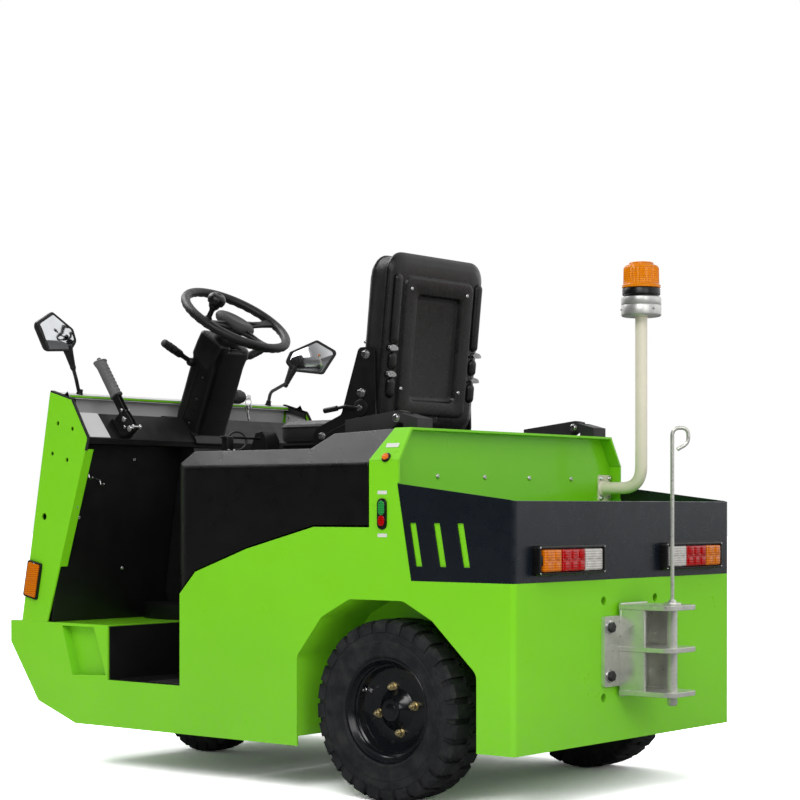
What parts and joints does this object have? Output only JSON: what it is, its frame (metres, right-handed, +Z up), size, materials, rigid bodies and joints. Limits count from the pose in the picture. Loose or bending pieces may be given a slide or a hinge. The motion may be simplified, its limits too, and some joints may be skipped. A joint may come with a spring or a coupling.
{
  "type": "airport baggage tug",
  "caption": "Three-wheeled seated electric tow tractor with a tilting seat hood, fenced rear deck, beacon pole and stepped tow coupling.",
  "frame": {"origin": "on the floor, at the bottom centre of the whole machine, midway between the nose and the tip of the tow coupling, on the middle plane", "axes": "+X forward to the nose, +Y to the driver's left, +Z up"},
  "size_m": [1.983, 1.3007, 1.4218],
  "materials": {
    "green_paint": "bright green gloss paint",
    "dark_paint": "near-black satin paint",
    "battery_case": "dark painted case",
    "axle_iron": "dark cast iron",
    "tyre": "black rubber",
    "rim_paint": "black paint",
    "black_trim": "satin black",
    "black_hood": "satin black textured",
    "seat_vinyl": "black vinyl",
    "seat_moulding": "glossy black moulding",
    "wheel_plastic": "black plastic",
    "rubber_pad": "black rubber",
    "lamp_clear": "clear lens",
    "amber_lens": "amber lens",
    "red_lens": "red lens",
    "mirror_case": "black plastic",
    "pole_paint": "cream paint",
    "cast_alloy": "cast alloy",
    "zinc_steel": "zinc plated steel"
  },
  "bodies": {
    "root": {"body_shell": "green_paint", "wheel_housings": "green_paint", "upper_body": "green_paint", "deck_tray": "green_paint", "nose": "green_paint", "cowl": "green_paint", "band": "dark_paint", "frame_rails": "dark_paint", "battery": "battery_case", "rear_axle": "axle_iron", "drive_motor": "dark_paint", "hump": "black_trim", "floor_plate": "black_trim", "bulkhead": "black_trim", "hinge_blocks": "dark_paint", "dash": "black_trim", "column_cover": "black_trim", "pedestal": "black_trim", "stalks": "wheel_plastic", "handbrake": "dark_paint", "pedals": "rubber_pad", "headlamps": "lamp_clear", "side_markers": "amber_lens", "mirrors": "mirror_case", "lamp_housings": "black_trim", "lamp_lenses": "red_lens", "beacon_pole": "pole_paint", "beacon_base": "cast_alloy", "beacon_lens": "amber_lens", "coupling_bracket": "zinc_steel"},
    "rear_wheel_left": {"rear_tyre_left": "tyre", "rear_rim_left": "rim_paint"},
    "rear_wheel_right": {"rear_tyre_right": "tyre", "rear_rim_right": "rim_paint"},
    "steered_fork": {"fork": "dark_paint"},
    "front_wheel": {"front_tyre": "tyre", "front_rim": "rim_paint"},
    "tilting_hood": {"hood": "black_hood", "hinge_arms": "dark_paint", "seat_base": "dark_paint", "seat_cushion": "seat_vinyl", "seat_back": "seat_vinyl", "seat_shell": "seat_moulding", "seat_brackets": "dark_paint"},
    "hand_wheel": {"steering_wheel": "wheel_plastic"},
    "tow_pin": {"coupling_pin": "zinc_steel"}
  },
  "joints": [
    {"name": "rear_left_spin", "type": "hinge", "parent": "root", "child": "rear_wheel_left", "pos_m": [-0.4225, 0.428, 0.228], "axis": [0, 1, 0], "continuous": true},
    {"name": "rear_right_spin", "type": "hinge", "parent": "root", "child": "rear_wheel_right", "pos_m": [-0.4225, -0.428, 0.228], "axis": [0, 1, 0], "continuous": true},
    {"name": "steer", "type": "hinge", "parent": "root", "child": "steered_fork", "pos_m": [0.6635, 0, 0.44], "axis": [0, 0, 1], "range_deg": [-70, 70]},
    {"name": "front_spin", "type": "hinge", "parent": "steered_fork", "child": "front_wheel", "pos_m": [0.6635, 0, 0.18], "axis": [0, 1, 0], "continuous": true},
    {"name": "hand_wheel_turn", "type": "hinge", "parent": "root", "child": "hand_wheel", "pos_m": [0.5615, 0, 1.293], "axis": [-0.5592, 0, 0.829], "range_deg": [-560, 560]},
    {"name": "hood_tilt", "type": "hinge", "parent": "root", "child": "tilting_hood", "pos_m": [-0.4065, 0, 0.958], "axis": [0, -1, 0], "range_deg": [0, 60]},
    {"name": "pin_lift", "type": "slide", "parent": "root", "child": "tow_pin", "axis": [0, 0, 1], "range_m": [0, 0.25]}
  ],
  "couplings": [
    {"joint": "hand_wheel_turn", "follows": "steer", "ratio": 8}
  ]
}
